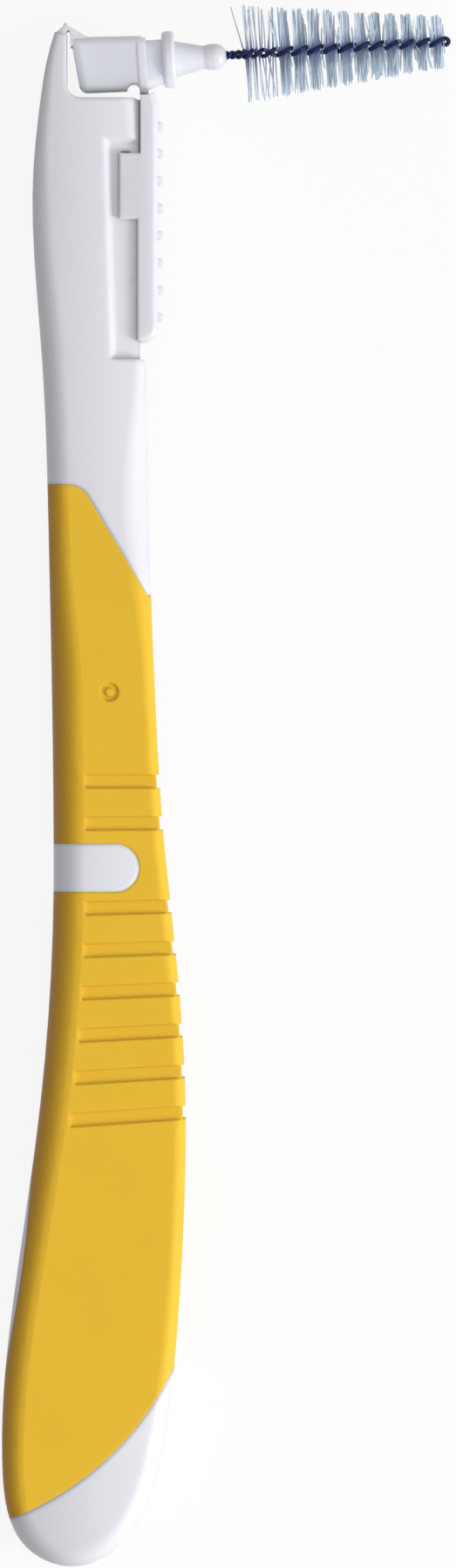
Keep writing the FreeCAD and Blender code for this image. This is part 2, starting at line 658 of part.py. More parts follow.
pin_mark.setExpression("Placement.Base.y", "dims.neck_rise + dims.pin_mark_rise")
pin_mark.setExpression("Placement.Base.z", "dims.rail_depth / 2 - dims.pin_mark_sink")
cuts.append(pin_mark)
rail_cuts = boolean("MultiFuse", "rail_cuts", *cuts)
handle_core = boolean("Cut", "handle_core", core_blank, rail_cuts)

# Lock: front plate with seat and lip, two legs with hooks that run in the rail, grip ribs.
LOCK_BACK = "dims.guide_front + dims.lock_back_gap"
LOCK_FRONT = LOCK_BACK + " + dims.lock_wall"
LOCK_LOW = "dims.neck_rise + dims.lock_clearance + dims.lock_travel"
LOCK_SIDE = "dims.rail_depth / 2 + dims.lock_clearance + dims.leg_wall"
SINE = "sin(dims.head_tilt)"
COSINE = "cos(dims.head_tilt)"
FOOT_FRONT = "(dims.barrel_back + dims.barrel_length + dims.flange_wall)"
FOOT_DROP = "(dims.barrel_top + dims.barrel_height + dims.foot_height)"
HINGE_X = "-dims.post_front - dims.hinge_set"
HINGE_Y = POST_TOP + " + dims.hinge_rise"
FOOT_X = f"{HINGE_X} + {FOOT_FRONT} * {COSINE} + {FOOT_DROP} * {SINE}"
SEAT_Y = f"{HINGE_Y} + ({FOOT_FRONT} - dims.flange_wall) * {SINE} - {FOOT_DROP} * {COSINE} - dims.lock_clearance"
lock_slide = new_body("lock_slide")
plate = new_sketch(lock_slide, "XY_Plane", "lock_plate_side")
add_polygon(plate, [
    (LOCK_BACK, LOCK_LOW),
    (LOCK_FRONT, LOCK_LOW),
    (LOCK_FRONT, f"{SEAT_Y} + dims.lip_height - dims.lip_fall"),
    (f"{FOOT_X} + dims.lock_clearance + dims.lip_slope + dims.lip_flat", f"{SEAT_Y} + dims.lip_height"),
    (f"{FOOT_X} + dims.lock_clearance + dims.lip_slope", f"{SEAT_Y} + dims.lip_height"),
    (f"{FOOT_X} + dims.lock_clearance", SEAT_Y),
    (LOCK_BACK, SEAT_Y),
])
add_feature(lock_slide, "Pad", "lock_plate", plate, f"2 * ({LOCK_SIDE})", True)
lock_front = value_of(LOCK_FRONT)
lock_low = value_of(LOCK_LOW)


def lock_heel(edge):
    return all(abs(v.X - lock_front) + abs(v.Y - lock_low) < 0.001 for v in edge.Vertexes)


def lock_front_rim(edge):
    ends = edge.Vertexes
    along = abs(ends[0].Z - ends[-1].Z) < 0.001 and abs(abs(ends[0].Z) - value_of(LOCK_SIDE)) < 0.001
    return along and max(v.X for v in ends) > lock_front - 0.001


round_edges(lock_slide, "lock_heel", "dims.lock_heel_radius", lock_heel)
round_edges(lock_slide, "lock_rim", "dims.lock_edge_radius", lock_front_rim)
leg = new_sketch(lock_slide, "XY_Plane", "leg_side", "dims.rail_depth / 2 + dims.lock_clearance")
add_polygon(leg, [
    (LEG_BACK, f"{LEG_TOP} - dims.leg_length"),
    (f"{LOCK_BACK} - dims.skirt_reach", f"{LEG_TOP} - dims.leg_length"),
    (f"{LOCK_BACK} - dims.skirt_reach", LOCK_LOW),
    (f"{LOCK_BACK} + dims.lock_wall / 8", LOCK_LOW),
    (f"{LOCK_BACK} + dims.lock_wall / 8", LEG_TOP),
    (LEG_BACK, LEG_TOP),
])
leg_pad = add_feature(lock_slide, "Pad", "leg", leg, "dims.leg_wall")
hook = new_sketch(lock_slide, "XY_Plane", "hook_side", f"dims.rail_depth / 2 - ({HOOK_SLOT}) + dims.lock_clearance")
add_polygon(hook, [
    (f"{LEG_BACK} + dims.hook_set", f"{LEG_TOP} - dims.hook_length"),
    (f"{LEG_BACK} + dims.hook_set + dims.hook_width", f"{LEG_TOP} - dims.hook_length"),
    (f"{LEG_BACK} + dims.hook_set + dims.hook_width", LEG_TOP),
    (f"{LEG_BACK} + dims.hook_set", LEG_TOP),
])
hook_pad = add_feature(lock_slide, "Pad", "hook", hook, "dims.hook_height + dims.lock_clearance + dims.leg_wall / 2")
mirrored(lock_slide, "legs", [leg_pad, hook_pad])
lock_back = value_of(LOCK_BACK)


def leg_rim(edge):
    outer = all(abs(abs(v.Z) - value_of(LOCK_SIDE)) < 0.001 for v in edge.Vertexes)
    return outer and min(v.X for v in edge.Vertexes) < lock_back - 0.01


round_edges(lock_slide, "leg_rim", "dims.leg_rim_radius", leg_rim)
tongue = new_sketch(lock_slide, "XY_Plane", "tongue_side")
add_polygon(tongue, [
    ("dims.guide_front - dims.tongue_height", LOCK_LOW),
    (f"{LOCK_BACK} + dims.lock_wall / 4", LOCK_LOW),
    (f"{LOCK_BACK} + dims.lock_wall / 4", f"{SEAT_Y} - dims.tongue_drop"),
    ("dims.guide_front - dims.tongue_height", f"{SEAT_Y} - dims.tongue_drop"),
])
add_feature(lock_slide, "Pad", "tongue", tongue, "dims.tongue_depth", True)
rib = new_sketch(lock_slide, "XY_Plane", "rib_side")
rib_middle = V(lock_front, lock_low + size("rib_margin"), 0)
rib_half = size("rib_width") / 2
rib_points = [
    rib_middle + V(-size("lock_wall") / 4, rib_half, 0),
    rib_middle + V(-size("lock_wall") / 4, -rib_half, 0),
    rib_middle + V(size("rib_height") - rib_half, -rib_half, 0),
    rib_middle + V(size("rib_height") - rib_half, rib_half, 0),
]
for start, end in ((0, 1), (1, 2), (3, 0)):
    rib.addGeometry(Part.LineSegment(rib_points[start], rib_points[end]))
rib.addGeometry(Part.Arc(rib_points[2], rib_middle + V(size("rib_height"), 0, 0), rib_points[3]))
rib_pad = add_feature(lock_slide, "Pad", "rib", rib, "dims.rib_length", True)
ribs = lock_slide.newObject("PartDesign::LinearPattern", "ribs")
ribs.Originals = [rib_pad]
ribs.Direction = (rib, ["V_Axis"])
ribs.Mode = "Spacing"
ribs.setExpression("Offset", "dims.rib_pitch")
ribs.setExpression("Occurrences", "dims.rib_count")
lock_slide.Tip = ribs

# Brush holder, drawn from the hinge axis with the brush along X.
BARREL_END = "dims.barrel_back + dims.barrel_length"
BARREL_LOW = "-dims.barrel_top - dims.barrel_height"
FLANGE_END = BARREL_END + " + dims.flange_wall"
brush_holder = new_body("brush_holder")
barrel = new_sketch(brush_holder, "XY_Plane", "barrel_side")
add_polygon(barrel, [
    ("dims.barrel_back", "-dims.barrel_top + dims.barrel_top_rise"),
    ("dims.barrel_back + dims.barrel_lean", BARREL_LOW),
    (f"{BARREL_END} + dims.flange_wall / 2", f"{BARREL_LOW} - dims.barrel_fall"),
    (f"{BARREL_END} + dims.flange_wall / 2", "-dims.barrel_top"),
])
add_feature(brush_holder, "Pad", "barrel", barrel, "dims.barrel_depth", True)
barrel_back = size("barrel_back")
barrel_foot = barrel_back + size("barrel_lean")
barrel_low = value_of(BARREL_LOW)


def barrel_edge(edge):
    ends = edge.Vertexes
    long_edge = abs(ends[0].X - ends[-1].X) > 1
    lower_back = all(abs(v.X - barrel_foot) + abs(v.Y - barrel_low) < 0.001 for v in ends)
    upright = all(v.X < barrel_foot + 0.001 for v in ends) and abs(ends[0].Y - ends[-1].Y) > 1
    return long_edge or lower_back or upright


round_edges(brush_holder, "barrel_rounding", "dims.barrel_radius", barrel_edge)
notch = new_sketch(brush_holder, "XY_Plane", "notch_side")
add_circle(notch, f"{BARREL_END} - dims.notch_set", f"{BARREL_LOW} - dims.notch_drop", "dims.notch_radius")
add_feature(brush_holder, "Pocket", "notch", notch, str(BEYOND), True)
flange = new_sketch(brush_holder, "XY_Plane", "flange_side")
add_polygon(flange, [
    (BARREL_END, "-dims.barrel_top - dims.flange_drop"),
    (BARREL_END, f"{BARREL_LOW} - dims.foot_height"),
    (FLANGE_END, f"{BARREL_LOW} - dims.foot_height"),
    (FLANGE_END, "-dims.barrel_top - dims.flange_drop"),
])
add_feature(brush_holder, "Pad", "flange", flange, "dims.flange_depth", True)
barrel_end = value_of(BARREL_END)


def flange_corner(edge):
    ends = edge.Vertexes
    along = abs(ends[0].X - ends[-1].X) > 0.3 and all(v.X > barrel_end - 0.001 for v in ends)
    return along and abs(abs(ends[0].Z) - size("flange_depth") / 2) < 0.001


round_edges(brush_holder, "flange_rounding", "dims.barrel_radius", flange_corner)
holder_neck = new_sketch(brush_holder, "XY_Plane", "neck_side")
NECK_TOP = "-dims.barrel_top - dims.neck_top"
add_polygon(holder_neck, [
    (f"{FLANGE_END} - dims.flange_wall / 2", NECK_TOP),
    (f"{FLANGE_END} - dims.flange_wall / 2", f"{NECK_TOP} - dims.neck_height"),
    (FLANGE_END, f"{NECK_TOP} - dims.neck_height"),
    (f"{FLANGE_END} + dims.neck_length", f"{NECK_TOP} - dims.neck_height + dims.neck_rise_front"),
    (f"{FLANGE_END} + dims.neck_length + dims.collar_length / 2",
     f"{NECK_TOP} - dims.neck_height + dims.neck_rise_front"),
    (f"{FLANGE_END} + dims.neck_length + dims.collar_length / 2", NECK_TOP),
])
add_feature(brush_holder, "Pad", "holder_neck", holder_neck, "dims.neck_width", True)
flange_end = value_of(FLANGE_END)


def neck_edge(edge):
    ends = edge.Vertexes
    at_side = all(abs(abs(v.Z) - size("neck_width") / 2) < 0.001 for v in ends)
    return at_side and min(v.X for v in ends) > flange_end - 0.001 and abs(ends[0].X - ends[-1].X) > 0.1


round_edges(brush_holder, "neck_rounding", "dims.barrel_radius", neck_edge)
nose = new_sketch(brush_holder, "XY_Plane", "nose_side")
axis_y = -size("axis_drop")
nose_y = -size("nose_drop")
collar_start = flange_end + size("neck_length")
collar_end = collar_start + size("collar_length")
cone_end = collar_end + size("cone_length")
holder_end = cone_end + size("ball_length")
ball_radius = size("ball_radius")
ball_mid = holder_end - ball_radius
nose_steps = [
    (collar_start, 0),
    (collar_start, size("collar_radius")),
    (collar_end, size("collar_radius")),
    (collar_end, size("cone_radius")),
    (cone_end, size("cone_end_radius")),
]
nose_points = [V(x, nose_y + radius, 0) for x, radius in nose_steps]
for start, end in zip(nose_points, nose_points[1:]):
    nose.addGeometry(Part.LineSegment(start, end))
ball_crown = V(ball_mid, nose_y + ball_radius, 0)
ball_swell = V((cone_end + ball_mid) / 2, nose_y + ball_radius * 0.985, 0)
ball_turn = V(ball_mid, nose_y, 0) + V(1, 1, 0).normalize() * ball_radius
ball_end = V(holder_end, nose_y, 0)
nose.addGeometry(Part.Arc(nose_points[-1], ball_swell, ball_crown))
nose.addGeometry(Part.Arc(ball_crown, ball_turn, ball_end))
nose_axis = nose.addGeometry(Part.LineSegment(ball_end, nose_points[0]))
revolved = brush_holder.newObject("PartDesign::Revolution", "nose")
revolved.Profile = nose
revolved.ReferenceAxis = (nose, [f"Edge{nose_axis + 1}"])
revolved.Angle = 360


def collar_rim(edge):
    ring = abs(edge.Length - 2 * math.pi * size("collar_radius")) < 0.01
    return ring and abs(edge.Vertexes[0].X - collar_start) * abs(edge.Vertexes[0].X - collar_end) < 0.001


round_edges(brush_holder, "collar_rounding", "dims.collar_rounding", collar_rim)
BORE = "dims.wire_radius + dims.wire_spread_root + dims.wire_clearance"
bore = new_sketch(brush_holder, "YZ_Plane", "wire_bore", str(holder_end) + " - dims.wire_root")
add_circle(bore, "-dims.axis_drop", "0", BORE)
bore_cut = add_feature(brush_holder, "Pocket", "wire_seat", bore, "dims.wire_root + 1")
bore_cut.Reversed = True

# Twisted wire: one strand out, a loop at the tip, the other strand back.
wire_start = holder_end - size("wire_root") + 2 * size("wire_clearance")
wire_tip = holder_end + size("wire_length")
spread_brush = size("wire_radius") + size("filament_radius") + size("wire_clearance")
ramp_start = holder_end + size("twist_start")


def ramp(x):
    # 0 at the holder, 1 in the brush.
    share = min(max((x - ramp_start) / size("twist_ramp"), 0), 1)
    return share * share * (3 - 2 * share)


def half_turn(x):
    return size("twist_root") + (size("twist_brush") - size("twist_root")) * ramp(x)


lead_turns = int(size("lead_turns"))
sparse_rows = int(size("sparse_rows"))
row_count = sparse_rows + int(size("full_rows"))


def twist_marks():
    # Places along the axis where the twist has made one more quarter turn, fitted to the length of the wire.
    marks = [holder_end - size("ball_radius")]
    for quarter in range(2 * (lead_turns + row_count)):
        middle = marks[-1] + half_turn(marks[-1]) / 4
        marks.append(marks[-1] + half_turn(middle) / 2)
    bend = wire_tip - spread_brush - size("wire_radius")
    stretch = (bend - size("twist_end") - marks[0]) / (marks[-1] - marks[0])
    return [marks[0] + (mark - marks[0]) * stretch for mark in marks]


marks = twist_marks()
brush_start = marks[2 * lead_turns]
brush_end = marks[-1]


def spread(x):
    # The strands part on the way to the first filaments.
    share = min(max((x - ramp_start) / (brush_start - ramp_start), 0), 1)
    return size("wire_spread_root") + (spread_brush - size("wire_spread_root")) * share


def strand_point(index, flip):
    angle = index * math.pi / 2 + flip * math.pi
    radius = spread(marks[index])
    return V(marks[index], axis_y + radius * math.cos(angle), -radius * math.sin(angle))


def strand_direction(index, flip):
    if index in (0, len(marks) - 1):
        return V(1, 0, 0)
    angle = index * math.pi / 2 + flip * math.pi
    swing = math.pi / (marks[index + 1] - marks[index - 1]) * spread(marks[index])
    return V(1, -swing * math.sin(angle), -swing * math.cos(angle)).normalize()


def arc_from(start, direction, end):
    # Arc that leaves start along direction and ends at end.
    chord = end - start
    side = chord - direction * chord.dot(direction)
    if side.Length < 1e-9:
        return Part.makeLine(start, end)
    side.normalize()
    radius = chord.dot(chord) / (2 * chord.dot(side))
    centre = start + side * radius
    middle = (start + end) / 2 - centre
    return Part.Arc(start, centre + middle.normalize() * radius, end).toShape()


def biarc(start, start_way, end, end_way):
    # Two arcs that meet smoothly and keep both given directions.
    gap = end - start
    ways = start_way + end_way
    lead = 2 * (1 - start_way.dot(end_way))
    along = gap.dot(ways)
    if lead < 1e-9:
        reach = gap.dot(gap) / (2 * along)
    else:
        reach = (-along + math.sqrt(along * along + lead * gap.dot(gap))) / lead
    joint = (start + end) / 2 + (start_way - end_way) * (reach / 2)
    first = arc_from(start, start_way, joint)
    second = arc_from(end, end_way * -1, joint)
    return [first, second]


def strand(flip):
    pieces = []
    root = strand_point(0, flip)
    pieces.append(Part.makeLine(V(wire_start, root.y, root.z), root))
    for index in range(len(marks) - 1):
        pieces += biarc(
            strand_point(index, flip),
            strand_direction(index, flip),
            strand_point(index + 1, flip),
            strand_direction(index + 1, flip),
        )
    return pieces


last = len(marks) - 1
loop_ends = [strand_point(last, flip) for flip in (0, 1)]
loop_top = V(wire_tip - size("wire_radius"), axis_y, 0)
loop_x = loop_top.x - spread_brush
bends = [V(loop_x, point.y, point.z) for point in loop_ends]
loop = [Part.makeLine(loop_ends[0], bends[0]), Part.Arc(bends[0], loop_top, bends[1]).toShape()]
loop.append(Part.makeLine(bends[1], loop_ends[1]))
wire_path = Part.Wire(Part.__sortEdges__(strand(0) + loop + strand(1)))
wire_end = strand_point(0, 0)
section = Part.Wire(Part.makeCircle(size("wire_radius"), V(wire_start, wire_end.y, wire_end.z), V(1, 0, 0)))
twisted_wire = doc.addObject("Part::Feature", "twisted_wire")
twisted_wire.Shape = wire_path.makePipeShell([section], True, False)

# Bristles: one row for each half turn of the wire in the brush, each filament through the twist.
def brush_radius(x):
    share = (x - brush_start) / (brush_end - brush_start)
    return size("brush_root_radius") + (size("brush_tip_radius") - size("brush_root_radius")) * share


rows = []
for number in range(row_count):
    index = 2 * (lead_turns + number)
    count = int(size("sparse_count" if number < sparse_rows else "filament_count"))
    filaments = []
    for place in range(count):
        share = 2 * (place + 0.5) / count
        base = index + int(share)
        x = marks[base] + (marks[base + 1] - marks[base]) * (share - int(share))
        angle = (index + share) * math.pi / 2 + math.pi / 2
        way = V(0, math.cos(angle), -math.sin(angle))
        reach = brush_radius(x)
        foot = V(x, axis_y, 0) - way * reach
        filaments.append(Part.makeCylinder(size("filament_radius"), 2 * reach, foot, way))
    row = doc.addObject("Part::Feature", f"bristle_row_{number + 1:02d}")
    row.Shape = Part.makeCompound(filaments)
    rows.append(row)

# Pieces of the handle are raised to the table; pieces of the head also turn about the hinge axis.
LIFT = "dims.grip_depth / 2"
for piece in (handle_core, grip_sleeve, lock_slide):
    piece.setExpression("Placement.Base.z", LIFT)
for piece in [brush_holder, twisted_wire] + rows:
    piece.setExpression("Placement.Base.x", HINGE_X)
    piece.setExpression("Placement.Base.y", HINGE_Y)
    piece.setExpression("Placement.Base.z", LIFT)
    piece.setExpression("Placement.Rotation.Angle", "dims.head_tilt")

# Hinge web: a thin bend around the hinge axis, its two ends cut to the post and to the holder.
web_form = new_body("web_form")
web = new_sketch(web_form, "XY_Plane", "web_side")
hinge = V(value_of(HINGE_X), value_of(HINGE_Y), 0)
tilt = FreeCAD.Rotation(V(0, 0, 1), size("head_tilt"))
bend_radius = size("hinge_wall") / 2
WEB_ROOT = 0.35  # depth to which the web's ends reach into the post and the holder before they are cut


def on_bend(degrees):
    angle = math.radians(degrees)
    return hinge + V(math.cos(angle), math.sin(angle), 0) * bend_radius


def on_head(x, y):
    return hinge + tilt.multVec(V(x, y, 0))


post_back = V(-size("post_tip_back") + 0.02, post_top - WEB_ROOT, 0)
crest_back = V(-size("post_tip_back") + 0.16, post_top + 0.24, 0)
crest = V((crest_back.x + hinge.x) / 2, hinge.y + bend_radius * 0.86, 0)
crest_front = on_bend(58)
head_top = on_head(barrel_back + 0.95, -size("barrel_top") + 0.8 * size("barrel_top_rise") - 0.02)
head_low = on_head(barrel_back + 0.25, -size("barrel_top") - 0.6)
wall_low = on_head(barrel_back + 0.02, -size("barrel_top") - 0.35)
post_face = V(on_bend(-95).x, post_top - WEB_ROOT, 0)
web.addGeometry(Part.LineSegment(post_back, crest_back))
web.addGeometry(Part.Arc(crest_back, crest, crest_front))
web.addGeometry(Part.LineSegment(crest_front, head_top))
web.addGeometry(Part.LineSegment(head_top, head_low))
web.addGeometry(Part.LineSegment(head_low, wall_low))
web.addGeometry(Part.LineSegment(wall_low, on_bend(-25)))
web.addGeometry(Part.Arc(on_bend(-25), on_bend(-60), on_bend(-95)))
web.addGeometry(Part.LineSegment(on_bend(-95), post_face))
web.addGeometry(Part.LineSegment(post_face, post_back))
add_feature(web_form, "Pad", "web", web, "dims.hinge_width", True)
web_form.setExpression("Placement.Base.z", LIFT)
web_ends = boolean("MultiFuse", "web_ends", handle_core, brush_holder)
hinge_web = boolean("Cut", "hinge_web", web_form, web_ends)

doc.recompute()
for item in doc.Objects:
    faults = [state for state in item.State if state in ("Invalid", "Error")]
    if faults:
        raise RuntimeError(f"{item.Label}: {faults}")
os.makedirs("parts", exist_ok=True)
for piece in [handle_core, grip_sleeve, hinge_web, brush_holder, lock_slide, twisted_wire] + rows:
    shape = piece.Shape
    if shape.isNull() or not shape.isValid() or not shape.Solids:
        raise RuntimeError(f"{piece.Label} has no valid shape")
    shape.exportStep(f"parts/{piece.Label}.step")
    print(piece.Label, len(shape.Solids), round(shape.Volume, 3))
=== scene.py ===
import json
import math
import random

import bpy
from mathutils import Matrix, Vector


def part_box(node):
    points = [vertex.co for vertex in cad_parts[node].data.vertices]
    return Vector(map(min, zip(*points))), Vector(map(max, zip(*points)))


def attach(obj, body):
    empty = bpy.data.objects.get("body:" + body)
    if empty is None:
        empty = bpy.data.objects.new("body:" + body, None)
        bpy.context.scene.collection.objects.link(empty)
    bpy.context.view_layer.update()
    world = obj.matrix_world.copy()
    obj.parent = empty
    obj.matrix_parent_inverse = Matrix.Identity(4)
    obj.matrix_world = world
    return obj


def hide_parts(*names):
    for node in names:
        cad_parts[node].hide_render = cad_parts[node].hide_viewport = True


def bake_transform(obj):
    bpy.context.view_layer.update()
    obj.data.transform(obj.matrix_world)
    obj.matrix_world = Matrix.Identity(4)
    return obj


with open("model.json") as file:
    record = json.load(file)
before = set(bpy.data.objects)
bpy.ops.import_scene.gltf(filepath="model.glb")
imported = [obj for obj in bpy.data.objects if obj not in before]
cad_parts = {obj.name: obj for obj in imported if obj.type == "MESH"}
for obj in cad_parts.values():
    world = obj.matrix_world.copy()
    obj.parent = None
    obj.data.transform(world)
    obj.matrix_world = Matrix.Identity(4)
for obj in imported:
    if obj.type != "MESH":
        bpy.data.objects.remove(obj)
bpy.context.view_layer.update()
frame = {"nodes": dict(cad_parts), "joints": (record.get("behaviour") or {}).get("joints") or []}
nodes = frame["nodes"]
headHinge = Vector(next(j["pos_m"] for j in frame["joints"] if j["name"] == "head_swing"))
millimetre = 0.001
print("frame loaded:", len(nodes), "nodes")


# Photograph: 523 x 1800 pixels, one pixel is 0.06 mm, the origin sits at pixel (126, 996)
photo = {
    "width": 523,
    "height": 1800,
    "pixel": 0.06 * millimetre,
    "originX": 126,
    "originY": 996,
    "lens": 400,
    "sensor": 36,
    "clipReach": 4,
}


def photoPlace(pixelX, pixelY, height):
    x = (pixelX - photo["originX"]) * photo["pixel"]
    y = (photo["originY"] - pixelY) * photo["pixel"]
    return Vector((x, y, height))


def makeCamera():
    frameHeight = photo["height"] * photo["pixel"]
    distance = frameHeight * photo["lens"] / photo["sensor"]
    spot = photoPlace(photo["width"] / 2, photo["height"] / 2, headHinge.z + distance)
    bpy.ops.object.camera_add(location=spot, rotation=(0, 0, 0))
    camera = bpy.context.object
    camera.name = "photoCamera"
    camera.data.lens = photo["lens"]
    camera.data.sensor_width = photo["sensor"]
    camera.data.clip_end = photo["clipReach"] * distance
    bpy.context.scene.camera = camera


makeCamera()
print("camera placed")


# Sockets as values: operators add Math nodes, node() adds any other node
class Flow:
    def __init__(self, tree, socket=None):
        self.tree = tree
        self.socket = socket

    def node(self, kind, settings=None, inputs=None, output=0):
        made = self.tree.nodes.new(kind)
        for name, value in (settings or {}).items():
            setattr(made, name, value)
        for name, value in (inputs or {}).items():
            if isinstance(value, Flow):
                self.tree.links.new(value.socket, made.inputs[name])
            else:
                made.inputs[name].default_value = value
        return Flow(self.tree, made.outputs[output])

    def mathNode(self, operation, first, second):
        return self.node("ShaderNodeMath", {"operation": operation}, {0: first, 1: second})

    def __add__(self, other):
        return self.mathNode("ADD", self, other)

    def __radd__(self, other):
        return self.mathNode("ADD", other, self)

    def __sub__(self, other):
        return self.mathNode("SUBTRACT", self, other)

    def __rsub__(self, other):
        return self.mathNode("SUBTRACT", other, self)

    def __mul__(self, other):
        return self.mathNode("MULTIPLY", self, other)

    def __truediv__(self, other):
        return self.mathNode("DIVIDE", self, other)

    def noise(self, place, scale, detail=2.0, roughness=0.5):
        inputs = {"Vector": place, "Scale": scale, "Detail": detail, "Roughness": roughness}
        return self.node("ShaderNodeTexNoise", None, inputs)

    def mixColour(self, factor, first, second):
        return self.node(
            "ShaderNodeMix", {"data_type": "RGBA"}, {"Factor": factor, 6: first, 7: second}, output=2
        )


def newMaterial(name):
    material = bpy.data.materials.new(name)
    material.use_nodes = True
    tree = material.node_tree
    shader = tree.nodes["Principled BSDF"]
    flow = Flow(tree)
    place = flow.node("ShaderNodeTexCoord", output="Object")
    return material, shader, flow, place


def plug(flow, value, shader, socketName):
    flow.tree.links.new(value.socket, shader.inputs[socketName])


moulding = {
    "edgeSamples": 6,
    "grainStrength": 0.5,
}


def softNormal(flow, grain, grainDepth, edgeRadius):
    # rounded look on moulded edges, with the grain of the mould on top
    rounded = flow.node("ShaderNodeBevel", {"samples": moulding["edgeSamples"]}, {"Radius": edgeRadius})
    return flow.node(
        "ShaderNodeBump", None,
        {"Strength": moulding["grainStrength"], "Distance": grainDepth, "Height": grain, "Normal": rounded},
    )


whitePlastic = {
    "colour": (0.765, 0.767, 0.815, 1),
    "shade": (0.72, 0.723, 0.772, 1),
    "roughness": 0.36,
    "shine": 0.4,
    "cloudScale": 140,
    "cloudDetail": 3.0,
    "cloudMix": 0.6,
    "cloudGloss": 0.1,
    "grainGloss": 0.06,
    "grainScale": 9000,
    "grainDepth": 0.004 * millimetre,
    "edgeRadius": 0.5 * millimetre,
    "crownCentre": -1.2 * millimetre,
    "crown": 26,
}


def whitePlasticMaterial():
    look = whitePlastic
    material, shader, flow, place = newMaterial("whiteSatinPlastic")
    cloud = flow.noise(place, look["cloudScale"], look["cloudDetail"])
    grain = flow.noise(place, look["grainScale"])
    plug(flow, flow.mixColour(cloud * look["cloudMix"], look["colour"], look["shade"]), shader, "Base Color")
    gloss = look["roughness"] + (cloud - 0.5) * look["cloudGloss"] + (grain - 0.5) * look["grainGloss"]
    plug(flow, gloss, shader, "Roughness")
    soft = softNormal(flow, grain, look["grainDepth"], look["edgeRadius"])
    # slight crown across the handle, in shading only
    aside = flow.node("ShaderNodeSeparateXYZ", None, {0: place}, output="X") - look["crownCentre"]
    crown = flow.node(
        "ShaderNodeBump", None,
        {"Strength": 1.0, "Distance": 1.0, "Height": aside * aside * -look["crown"], "Normal": soft},
    )
    plug(flow, crown, shader, "Normal")
    shader.inputs["Specular IOR Level"].default_value = look["shine"]
    return material


yellowGrip = {
    "colour": (0.865, 0.54, 0.026, 1),
    "shade": (0.78, 0.465, 0.02, 1),
    # painted shade for the grip's back side: its colour, and how far the surface must turn towards -X to
    # reach it fully
    "flank": (0.47, 0.215, 0.016, 1),
    "flankTurn": 0.95,
    "roughness": 0.5,
    "shine": 0.3,
    "sheen": 0.08,
    "cloudScale": 220,
    "cloudDetail": 4.0,
    "cloudMix": 0.5,
    "grainScale": 7000,
    "grainDetail": 3.0,
    "grainRoughness": 0.6,
    "grainMix": 0.35,
    "grainGloss": 0.2,
    "grainDepth": 0.008 * millimetre,
    "edgeRadius": 0.25 * millimetre,
}


def yellowGripMaterial():
    look = yellowGrip
    material, shader, flow, place = newMaterial("yellowSoftGrip")
    cloud = flow.noise(place, look["cloudScale"], look["cloudDetail"])
    grain = flow.noise(place, look["grainScale"], look["grainDetail"], look["grainRoughness"])
    tone = cloud * look["cloudMix"] + grain * look["grainMix"]
    # painted shade: the yellow turns darker and browner where the grip's surface faces its back (-X),
    # standing in for light falling off on that side
    facing = flow.node("ShaderNodeTexCoord", output="Normal")
    backward = 0 - flow.node("ShaderNodeSeparateXYZ", None, {0: facing}, output="X") / look["flankTurn"]
    flank = flow.mathNode("MINIMUM", flow.mathNode("MAXIMUM", backward, 0.0), 1.0)
    face = flow.mixColour(tone, look["colour"], look["shade"])
    plug(flow, flow.mixColour(flank, face, look["flank"]), shader, "Base Color")
    plug(flow, look["roughness"] + (grain - 0.5) * look["grainGloss"], shader, "Roughness")
    plug(flow, softNormal(flow, grain, look["grainDepth"], look["edgeRadius"]), shader, "Normal")
    shader.inputs["Specular IOR Level"].default_value = look["shine"]
    shader.inputs["Sheen Weight"].default_value = look["sheen"]
    return material


frostedPlastic = {
    "colour": (0.74, 0.75, 0.80, 1),
    "shade": (0.70, 0.71, 0.77, 1),
    "roughness": 0.32,
    "cloudScale": 400,
    "cloudDetail": 3.0,
    "cloudMix": 0.7,
    "cloudGloss": 0.12,
    "grainScale": 8000,
    "grainDepth": 0.004 * millimetre,
    "edgeRadius": 0.15 * millimetre,
    "glow": 0.5,
    "glowDepth": 1.0 * millimetre,
    "glowSpread": (1.0, 1.0, 1.1),
}


def frostedPlasticMaterial():
    look = frostedPlastic
    material, shader, flow, place = newMaterial("frostedPlastic")
    cloud = flow.noise(place, look["cloudScale"], look["cloudDetail"])
    grain = flow.noise(place, look["grainScale"])
    plug(flow, flow.mixColour(cloud * look["cloudMix"], look["colour"], look["shade"]), shader, "Base Color")
    plug(flow, look["roughness"] + (cloud - 0.5) * look["cloudGloss"], shader, "Roughness")
    plug(flow, softNormal(flow, grain, look["grainDepth"], look["edgeRadius"]), shader, "Normal")
    shader.inputs["Subsurface Weight"].default_value = look["glow"]
    shader.inputs["Subsurface Radius"].default_value = look["glowSpread"]
    shader.inputs["Subsurface Scale"].default_value = look["glowDepth"]
    return material


blueWire = {
    "colour": (0.004, 0.007, 0.045, 1),
    "worn": (0.022, 0.04, 0.20, 1),
    "roughness": 0.34,
    "shine": 0.18,
    "drawScale": 2600,
    "drawDetail": 3.0,
    "drawGloss": 0.12,
    "wornFrom": 0.45,
    "wornTo": 0.75,
}


def blueWireMaterial():
    look = blueWire
    material, shader, flow, place = newMaterial("blueCoatedWire")
    patch = flow.noise(place, look["drawScale"], look["drawDetail"])
    tone = flow.node(
        "ShaderNodeMapRange", None,
        {"Value": patch, "From Min": look["wornFrom"], "From Max": look["wornTo"]},
    )
    plug(flow, flow.mixColour(tone, look["colour"], look["worn"]), shader, "Base Color")
    plug(flow, look["roughness"] + patch * look["drawGloss"], shader, "Roughness")
    shader.inputs["Specular IOR Level"].default_value = look["shine"]
    return material


